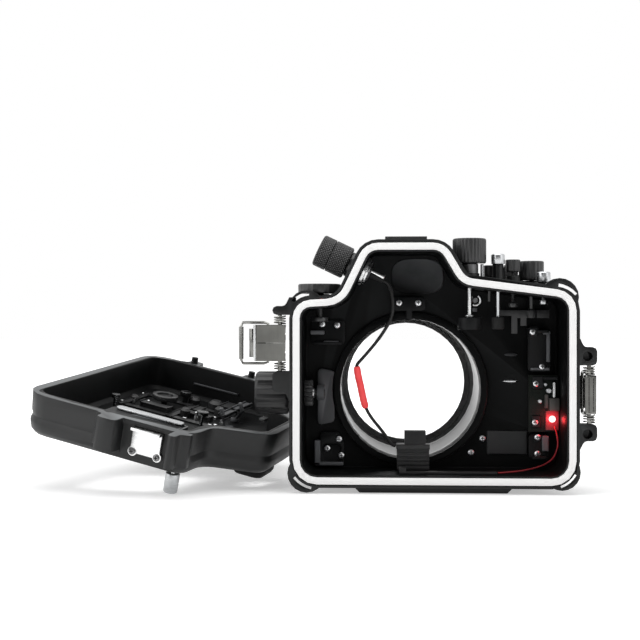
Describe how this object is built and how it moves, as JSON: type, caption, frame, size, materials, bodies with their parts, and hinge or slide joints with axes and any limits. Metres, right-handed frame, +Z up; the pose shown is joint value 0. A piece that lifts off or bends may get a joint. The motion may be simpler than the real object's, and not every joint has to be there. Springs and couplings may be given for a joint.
{
  "type": "underwater camera housing",
  "caption": "Open two-part underwater camera housing: ported front half with controls, latches and wiring, and its rear cover laid beside it.",
  "frame": {"origin": "on the foot block's flat underside, under the middle of the front half and 26 mm in front of its seal flange", "axes": "+Z up, +Y forward through the lens port, +X to the right seen from the open back; the rear cover lies towards -X"},
  "size_m": [0.394, 0.2364, 0.1785],
  "materials": {
    "anodised": "black hard anodised, satin, fine grain",
    "port_metal": "black anodised tube, smooth satin",
    "moulded": "black acetal, satin",
    "dark_metal": "dark grey anodised plate",
    "steel": "polished stainless steel",
    "silver": "natural anodised, silver",
    "seal": "white silicone, matt",
    "rubber": "black rubber, matt",
    "cord": "black cord jacket",
    "red": "red heat-shrink sleeve and wire insulation",
    "clear": "clear port glass and windows",
    "board": "dark circuit board",
    "lamp": "red warning lamp"
  },
  "bodies": {
    "front": {"front_shell": "anodised", "main_seal": "seal", "port_lock_ring": "anodised", "port_tube": "port_metal", "port_front_ring": "moulded", "port_glass": "clear", "foot_block": "anodised", "accessory_shoe": "dark_metal", "sync_bulkhead": "dark_metal", "sync_nut": "steel", "cord_boot": "rubber", "sync_cord_upper": "cord", "splice_sleeve": "red", "sync_cord_lower": "cord", "hot_shoe_plug": "moulded", "alarm_board": "board", "alarm_lamp": "lamp", "alarm_battery": "moulded", "leak_lead": "red", "leak_sensor": "moulded", "bracket_top": "dark_metal", "bracket_left_upper": "dark_metal", "bracket_left_lower": "dark_metal", "bracket_right_upper": "dark_metal", "bracket_right_lower": "dark_metal", "zoom_bracket": "dark_metal", "latch_left_pin": "steel", "latch_right_pin": "steel"},
    "sync_cap_body": {"sync_cap": "moulded"},
    "dial": {"dial_knob": "anodised", "dial_shaft": "steel", "dial_cup": "rubber"},
    "push_button_body": {"push_button": "silver", "push_button_foot": "rubber"},
    "disc_button_body": {"disc_button": "anodised"},
    "rear_top_button_body": {"rear_top_button": "silver"},
    "lever": {"lever_knob": "anodised", "lever_arm": "moulded"},
    "side_knob_body": {"side_knob": "anodised"},
    "mode_dial_body": {"mode_dial": "anodised"},
    "zoom": {"zoom_knob": "moulded", "zoom_gear": "moulded"},
    "left_lever": {"latch_left_lever": "steel"},
    "left_bail": {"latch_left_bail": "steel"},
    "right_lever": {"latch_right_lever": "steel"},
    "right_bail": {"latch_right_bail": "steel"},
    "cover": {"rear_shell": "anodised", "screen_window": "clear", "eyepiece": "rubber", "eyepiece_glass": "clear", "catch_left": "steel", "catch_right": "steel", "pocket_strip": "steel"},
    "cover_wheel": {"control_wheel": "silver"},
    "info_button": {"cover_button_info": "silver"},
    "play_button": {"cover_button_play": "silver"},
    "set_button": {"cover_button_set": "silver"},
    "corner_button": {"cover_button_corner": "silver"},
    "record_lever": {"cover_lever_record": "moulded"},
    "focus_lever": {"cover_lever_focus": "moulded"}
  },
  "joints": [
    {"name": "cover_away", "type": "slide", "parent": "front", "child": "cover", "axis": [-1, 0, 0], "range_m": [0, 0.12]},
    {"name": "sync_cap_off", "type": "slide", "parent": "front", "child": "sync_cap_body", "axis": [-0.901, 0, 0.4339], "range_m": [0, 0.02]},
    {"name": "dial_turn", "type": "hinge", "parent": "front", "child": "dial", "pos_m": [0.0258, -0.006, 0.165], "axis": [0, 0, 1], "continuous": true},
    {"name": "push_button_press", "type": "slide", "parent": "front", "child": "push_button_body", "axis": [0, 0, -1], "range_m": [0, 0.0025], "stiffness_N_per_m": 400},
    {"name": "disc_button_press", "type": "slide", "parent": "front", "child": "disc_button_body", "axis": [0, 0, -1], "range_m": [0, 0.0025], "stiffness_N_per_m": 400},
    {"name": "rear_top_button_press", "type": "slide", "parent": "front", "child": "rear_top_button_body", "axis": [0, 0, -1], "range_m": [0, 0.0025], "stiffness_N_per_m": 400},
    {"name": "lever_turn", "type": "hinge", "parent": "front", "child": "lever", "pos_m": [0.0706, 0.008, 0.14], "axis": [0, 0, 1], "range_deg": [-12, 12]},
    {"name": "side_knob_turn", "type": "hinge", "parent": "front", "child": "side_knob_body", "pos_m": [0.0405, 0.004, 0.15], "axis": [0, 0, 1], "continuous": true},
    {"name": "mode_dial_turn", "type": "hinge", "parent": "front", "child": "mode_dial_body", "pos_m": [-0.079, -0.004, 0.14], "axis": [0, 0, 1], "continuous": true},
    {"name": "zoom_turn", "type": "hinge", "parent": "front", "child": "zoom", "pos_m": [-0.1, 0, 0.0676], "axis": [-1, 0, 0], "continuous": true},
    {"name": "left_latch_lever", "type": "hinge", "parent": "front", "child": "left_lever", "pos_m": [-0.1055, -0.023, 0.1033], "axis": [0, 0, 1], "range_deg": [-88, 30]},
    {"name": "left_latch_bail", "type": "hinge", "parent": "left_lever", "child": "left_bail", "pos_m": [-0.1135, -0.023, 0.1033], "axis": [0, 0, 1], "range_deg": [-10, 95]},
    {"name": "right_latch_lever", "type": "hinge", "parent": "front", "child": "right_lever", "pos_m": [0.1055, -0.023, 0.0683], "axis": [0, 0, -1], "range_deg": [0, 118]},
    {"name": "right_latch_bail", "type": "hinge", "parent": "right_lever", "child": "right_bail", "pos_m": [0.1055, -0.015, 0.0683], "axis": [0, 0, -1], "range_deg": [-10, 95]},
    {"name": "cover_wheel_turn", "type": "hinge", "parent": "cover", "child": "cover_wheel", "pos_m": [-0.21033, 0.10766, 0.04572], "axis": [0.1798, -0.1558, 0.9713], "continuous": true},
    {"name": "info_button_press", "type": "slide", "parent": "cover", "child": "info_button", "axis": [0.1798, -0.1558, 0.9713], "range_m": [0, 0.0025], "stiffness_N_per_m": 400},
    {"name": "play_button_press", "type": "slide", "parent": "cover", "child": "play_button", "axis": [0.1798, -0.1558, 0.9713], "range_m": [0, 0.0025], "stiffness_N_per_m": 400},
    {"name": "set_button_press", "type": "slide", "parent": "cover", "child": "set_button", "axis": [0.1798, -0.1558, 0.9713], "range_m": [0, 0.0025], "stiffness_N_per_m": 400},
    {"name": "corner_button_press", "type": "slide", "parent": "cover", "child": "corner_button", "axis": [0.1798, -0.1558, 0.9713], "range_m": [0, 0.0025], "stiffness_N_per_m": 400},
    {"name": "record_lever_turn", "type": "hinge", "parent": "cover", "child": "record_lever", "pos_m": [-0.15387, 0.07263, 0.02965], "axis": [0.1798, -0.1558, 0.9713], "range_deg": [-15, 15]},
    {"name": "focus_lever_turn", "type": "hinge", "parent": "cover", "child": "focus_lever", "pos_m": [-0.15223, 0.09897, 0.03357], "axis": [0.1798, -0.1558, 0.9713], "range_deg": [-15, 15]}
  ]
}
